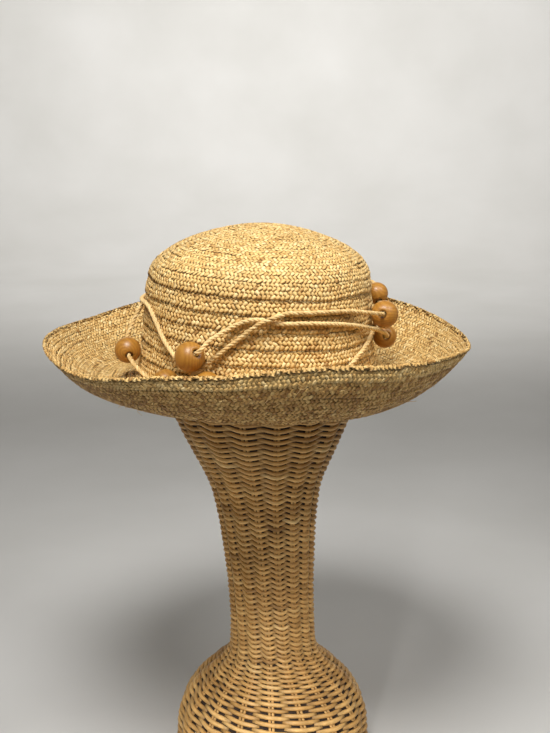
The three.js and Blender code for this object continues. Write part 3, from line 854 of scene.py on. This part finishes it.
def beadMesh(name, row):
    end = row[5] * string["beadShape"] / 2
    angles = np.radians(np.linspace(-bead["arc"], bead["arc"], bead["arcPoints"]))
    rise = math.sin(math.radians(bead["arc"]))
    outline = [(row[5] / 2 * math.cos(a), end * math.sin(a) / rise) for a in angles]
    lip = bead["lip"]
    hole = bead["hole"]
    drop = bead["lipDrop"]
    inner = bead["inner"] * end
    inside = [(hole + lip, end - drop), (hole, end - lip), (hole, inner), (hole, 0), (hole, -inner),
              (hole, lip - end), (hole + lip, drop - end)]
    bm = bmesh.new()
    spinRound(bm, [(x, y, 0) for x, y in outline + inside], bead["steps"], (0, 1, 0), True)
    local = np.array([v.co for v in bm.verts])
    axis = Vector(beadAxis(row))
    turn = Vector((0, 1, 0)).rotation_difference(axis).to_matrix().to_4x4()
    place = Matrix.Translation(onCrown(*row[:3])) @ turn
    bm.transform(Matrix.Scale(mm, 4) @ hatTurn @ place)
    mesh = meshFrom(bm, name)
    turned = Matrix.Rotation(rng.uniform(*bead["grainTurn"]), 3, "X")
    leaned = Matrix.Rotation(rng.uniform(*bead["grainLean"]), 3, "Y")
    shift = rng.uniform(-bead["grainShift"], bead["grainShift"], 3)
    grain = local @ np.array(turned @ leaned).T + shift
    near = np.clip(1 - (np.hypot(local[:, 0], local[:, 2]) - hole) / bead["holeShade"], 0, 1)
    look = np.stack([np.full(len(local), rng.uniform(*bead["tints"])), near, np.zeros(len(local))], 1)
    giveLook(mesh, grain, look)
    return mesh


for rows in string["turns"].values():
    for row in rows:
        if len(row) > 3:
            turnedBead = piece("turned_" + row[3], beadMesh(row[3], row), turnedWood)
            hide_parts(row[3])
print("beads turned")


stand = {
    "sections": [  # height, radius, lean to the right
        (0, 81.5, 11.5), (14, 82, 11.5), (34, 81, 11.5), (46, 78.2, 11.5), (59, 71.4, 11.6), (72, 61, 11.7),
        (83, 48.4, 11.8), (92, 39.8, 11.9), (102, 36.6, 11.9), (125, 36, 11.4), (152, 36.6, 10.2),
        (177, 38.2, 9.1), (207, 40.8, 7.6), (233, 44.6, 6.4), (250, 49.6, 5.5), (266, 56.8, 4.9),
        (292, 68.8, 3.8), (312, 76, 3.4), (328, 78.4, 3.2),
    ],
    "headTop": 449.6, "headArcs": 15,
    "headOuter": {"share": [0.985, 0.995], "up": [0, 1]},
    "headInner": {"share": [0.942, 0.985], "up": [0, 0.9]},
    "shellOuter": -3.3, "shellInner": -4.6, "shellFoot": 0.4, "shellStops": 60, "shellSteps": 54,
    "weaveTop": 326, "weaveFoot": 9, "arcPoints": 9, "arcLevel": 0.4,
    "stakes": 17, "cane": 1.6, "stakeCane": 1.2,
    "bulge": 2.6,  # how far a cane comes forward over a stake
    "reach": 0.62,  # half a cane's run, as a share of the way from stake to stake
    "tone": (0.52, 0.07),
    "spreads": {"place": 0.015, "size": 0.04, "dip": 0.15, "off": 0.1, "tint": 0.13},
    "stake": {"above": 2, "below": 2.5, "points": 64, "apart": 1.45, "off": -3.2, "tints": (0.3, 0.7)},
    "border": {"points": 180, "twists": 27, "up": 3.4, "wave": 1.3, "off": -2.9, "swing": 1.2, "cane": 1.5,
               "tints": (0.5, 0.6)},  # the twisted pair round the foot
    "rows": [  # height, from row to row, cane size, droop, bearing of the first stake, slant
        (0, 6.5, 1.22, 0.6, 0, 1.7), (55, 6.4, 1.18, 0.6, -0.5, 1.7), (70, 5.8, 1.06, 0.8, -1.2, 1.4),
        (79, 4.7, 0.96, 1.1, -2, 1.1), (90, 3.9, 0.93, 1.6, -4, 0.9), (106, 3.95, 0.93, 1.8, -6, 0.9),
        (118, 4.3, 0.94, 1.8, -7, 0.9), (150, 4.5, 0.94, 1.8, -9.3, 0.9), (200, 4.75, 0.96, 1.7, -10.2, 0.9),
        (240, 4.85, 0.98, 1.5, -10.8, 0.9), (275, 5.1, 1.0, 1.2, -11.3, 0.9), (330, 5.8, 1.02, 1.0, -12, 0.9),
    ],
}
standTable = np.array(stand["sections"], float)
standLine = splineThrough(standTable[::-1, [1, 0]])
standRun = measured(standLine)


def standLean(height):
    return np.interp(height, standTable[:, 0], standTable[:, 2])


def standFace(run, bearing):
    radius = np.interp(run, standRun, standLine[:, 0])
    height = np.interp(run, standRun, standLine[:, 1])
    return polar(standLean(height), radius, bearing, height)


def standSkin(spec):  # dim shell behind the canes, closed, with the round head on top
    bm = bmesh.new()
    stops = np.linspace(0, standRun[-1], spec["shellStops"])
    wall, side = profileAlong(standLine, standRun, stops)
    base, reach = standTable[-1, :2]
    rise = spec["headTop"] - base
    arcs = np.linspace(math.pi / 2, 0, spec["headArcs"] + 1)[:-1]
    dome = np.array([(reach * math.cos(a), base + rise * math.sin(a)) for a in arcs])
    faces = []
    for head, off in (("headOuter", "shellOuter"), ("headInner", "shellInner")):
        top = dome * spec[head]["share"] + spec[head]["up"]
        face = np.vstack([top, wall + side * spec[off]])
        face[:, 1] = np.maximum(face[:, 1], spec["shellFoot"])
        face[0, 0] = 0
        faces.append(face)
    profile = np.vstack([faces[0], faces[1][::-1]])
    spinRound(bm, [(p[0], 0, p[1]) for p in profile], spec["shellSteps"], (0, 0, 1), False)
    for v in bm.verts:
        v.co.x += standLean(v.co.z)
        v.co *= mm
    return meshFrom(bm, "stand_shell")


rowTable = np.array(stand["rows"], float)


def rowValue(run, column):  # a value of the row table at a place down the stand
    return np.interp(np.interp(run, standRun, standLine[:, 1]), rowTable[:, 0], rowTable[:, column])


def weaveCanes(spec):  # one arc over each stake in each row
    run = np.interp(-spec["weaveTop"], -standLine[:, 1], standRun)
    runs = []
    while np.interp(run, standRun, standLine[:, 1]) > spec["weaveFoot"]:
        run += rowValue(run, 1)
        runs.append(run)
    steps = np.linspace(-spec["reach"], spec["reach"], spec["arcPoints"])
    stride = 360 / spec["stakes"]
    spreads = spec["spreads"]
    lines = []
    tints = []
    sizes = []
    for run in runs:
        tone = rng.normal(*spec["tone"])
        for k in range(spec["stakes"]):
            t = steps + rng.normal(0, spreads["place"])
            size = rowValue(run, 2) * (1 + rng.normal(0, spreads["size"]))
            back = (1 - np.cos(np.pi * np.clip(t / spec["reach"], -1, 1))) / 2
            off = -spec["cane"] * size - spec["bulge"] * back
            dip = rowValue(run, 3) * (np.cos(np.pi * t) - spec["arcLevel"]) + rowValue(run, 5) * t * 2
            dip = dip + rng.normal(0, spreads["dip"])
            bearing = rowValue(run, 4) + (k + t) * stride
            lines.append(offFace(standFace, run + dip, bearing, off + rng.normal(0, spreads["off"])) * mm)
            tints.append(np.clip(tone + rng.normal(0, spreads["tint"]), 0, 1))
            sizes.append(size)
    return lines, tints, sizes


def stakeCanes(spec):
    stake = spec["stake"]
    top = np.interp(-spec["weaveTop"], -standLine[:, 1], standRun) - stake["above"]
    stops = np.linspace(top, standRun[-1] - stake["below"], stake["points"])
    radius = np.interp(stops, standRun, standLine[:, 0])
    lines = []
    for k in range(spec["stakes"]):
        for hand in (-1, 1):
            aside = hand * np.degrees(stake["apart"] / radius)
            bearing = rowValue(stops, 4) + k * 360 / spec["stakes"] + aside
            lines.append(offFace(standFace, stops, bearing, stake["off"]) * mm)
    return lines


def footBorder(border):
    turn = np.linspace(0, 360, border["points"] + 1)[:-1]
    lines = []
    for k in range(2):
        phase = np.radians(turn * border["twists"]) + k * math.pi
        run = standRun[-1] - border["up"] + border["wave"] * np.sin(phase)
        lines.append(offFace(standFace, run, turn, border["off"] + border["swing"] * np.cos(phase)) * mm)
    return lines


piece("stand_shell", standSkin(stand), wickerUnder)
caneLines, caneTints, caneSizes = weaveCanes(stand)
caneMesh = rods("stand_weave", caneLines, stand["cane"] * mm, caneSides, caneTints, caneSizes)
standCanes = piece("stand_weave", caneMesh, wicker)
stakeLines = stakeCanes(stand)
stakeTints = rng.uniform(*stand["stake"]["tints"], len(stakeLines))
stakeMesh = rods("stand_stakes", stakeLines, stand["stakeCane"] * mm, caneSides, stakeTints)
piece("stand_stakes", stakeMesh, wicker)
border = stand["border"]
borderLines = footBorder(border)
borderMesh = rods("stand_foot", borderLines, border["cane"] * mm, caneSides, border["tints"], closed=True)
piece("stand_foot", borderMesh, wicker)
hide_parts("stand")
print("stand woven:", len(caneLines), "cane arcs")


studio = {
    "floorReach": 2.6, "cove": 0.9, "wall": 2.4, "coveArcs": 10, "floorRings": (0, 0.6, 1.6), "steps": 64,
    "tones": [(0.3, linear(202, 200, 195)), (0.7, linear(212, 210, 206))], "cloud": 3, "rough": 0.75,
    "sky": (1, 0.985, 0.96, 1), "skyStrength": 0.16,
}


def coveMaterial(spec):
    mat, tree, shader = plainMaterial("paleFloor")
    place = put(tree, "ShaderNodeTexCoord").outputs["Object"]
    cloud = put(tree, "ShaderNodeTexNoise", {"Vector": place, "Scale": spec["cloud"], "Detail": 4}).outputs[0]
    tree.links.new(ramp(tree, cloud, spec["tones"]), shader.inputs["Base Color"])
    shader.inputs["Roughness"].default_value = spec["rough"]
    return mat


def coveMesh(spec):
    bm = bmesh.new()
    cove = spec["cove"]
    reach = spec["floorReach"]
    arcs = np.linspace(0, math.pi / 2, spec["coveArcs"])
    bend = [(reach + cove * math.sin(a), cove * (1 - math.cos(a))) for a in arcs]
    profile = [(ring, 0) for ring in spec["floorRings"]] + bend + [(reach + cove, spec["wall"])]
    spinRound(bm, [(x, 0, z) for x, z in profile], spec["steps"], (0, 0, 1), False)
    return meshFrom(bm, "floor")


floor = bpy.data.objects.new("floor", coveMesh(studio))
toScene(floor)
floor.data.materials.append(coveMaterial(studio))
floor.data.polygons.foreach_set("use_smooth", [True] * len(floor.data.polygons))

lamps = [  # name, place, aim, size, spread, watts
    ("keyLamp", (-0.12, -0.56, 1.34), (0, 0, 0.37), 0.5, 80, 3.7),
    ("sideLamp", (0.62, -0.3, 1.15), (0, 0, 0.37), 0.5, 95, 1.3),
    ("footLamp", (-0.25, -1.3, 0.17), (0.01, -0.07, 0.02), 0.2, 10, 0.09),
    ("flareLamp", (-0.22, -1.25, 0.26), (0.005, 0, 0.215), 0.2, 10, 0.02),
    ("backdropLamp", (0, 1.3, 2.1), (0, 3.5, 0.7), 1.4, 120, 34),
    ("leftDropLamp", (-1.3, 0, 2.1), (-3.5, 0, 0.7), 1.4, 120, 9),
    ("rightDropLamp", (1.3, 0, 2.1), (3.5, 0, 0.7), 1.4, 120, 9),
    ("nearDropLamp", (0, -1.6, 2.1), (0, -3.5, 0.7), 1.4, 120, 4),
]
for name, place, aim, size, spreadAngle, watts in lamps:
    lamp = bpy.data.lights.new(name, "AREA")
    lamp.shape = "DISK"
    lamp.size = size
    lamp.energy = watts
    lamp.spread = math.radians(spreadAngle)
    holder = bpy.data.objects.new(name, lamp)
    holder.visible_camera = False
    holder.location = place
    holder.rotation_euler = (Vector(aim) - Vector(place)).to_track_quat("-Z", "Y").to_euler()
    toScene(holder)

world = bpy.data.worlds.new("softStudio")
world.use_nodes = True
world.node_tree.nodes["Background"].inputs[0].default_value = studio["sky"]
world.node_tree.nodes["Background"].inputs[1].default_value = studio["skyStrength"]
scene.world = world
scene.view_settings.view_transform = "Standard"

view = {"place": (13.6, -976.7, 572.5), "pitch": 13.5, "lens": 61.39, "sensor": 36}
camera = bpy.data.cameras.new("photoView")
camera.lens = view["lens"]
camera.sensor_width = view["sensor"]
cameraHolder = bpy.data.objects.new("photoView", camera)
cameraHolder.location = Vector(view["place"]) * mm
cameraHolder.rotation_euler = (math.radians(90 - view["pitch"]), 0, 0)
toScene(cameraHolder)
scene.camera = cameraHolder
print("studio ready")
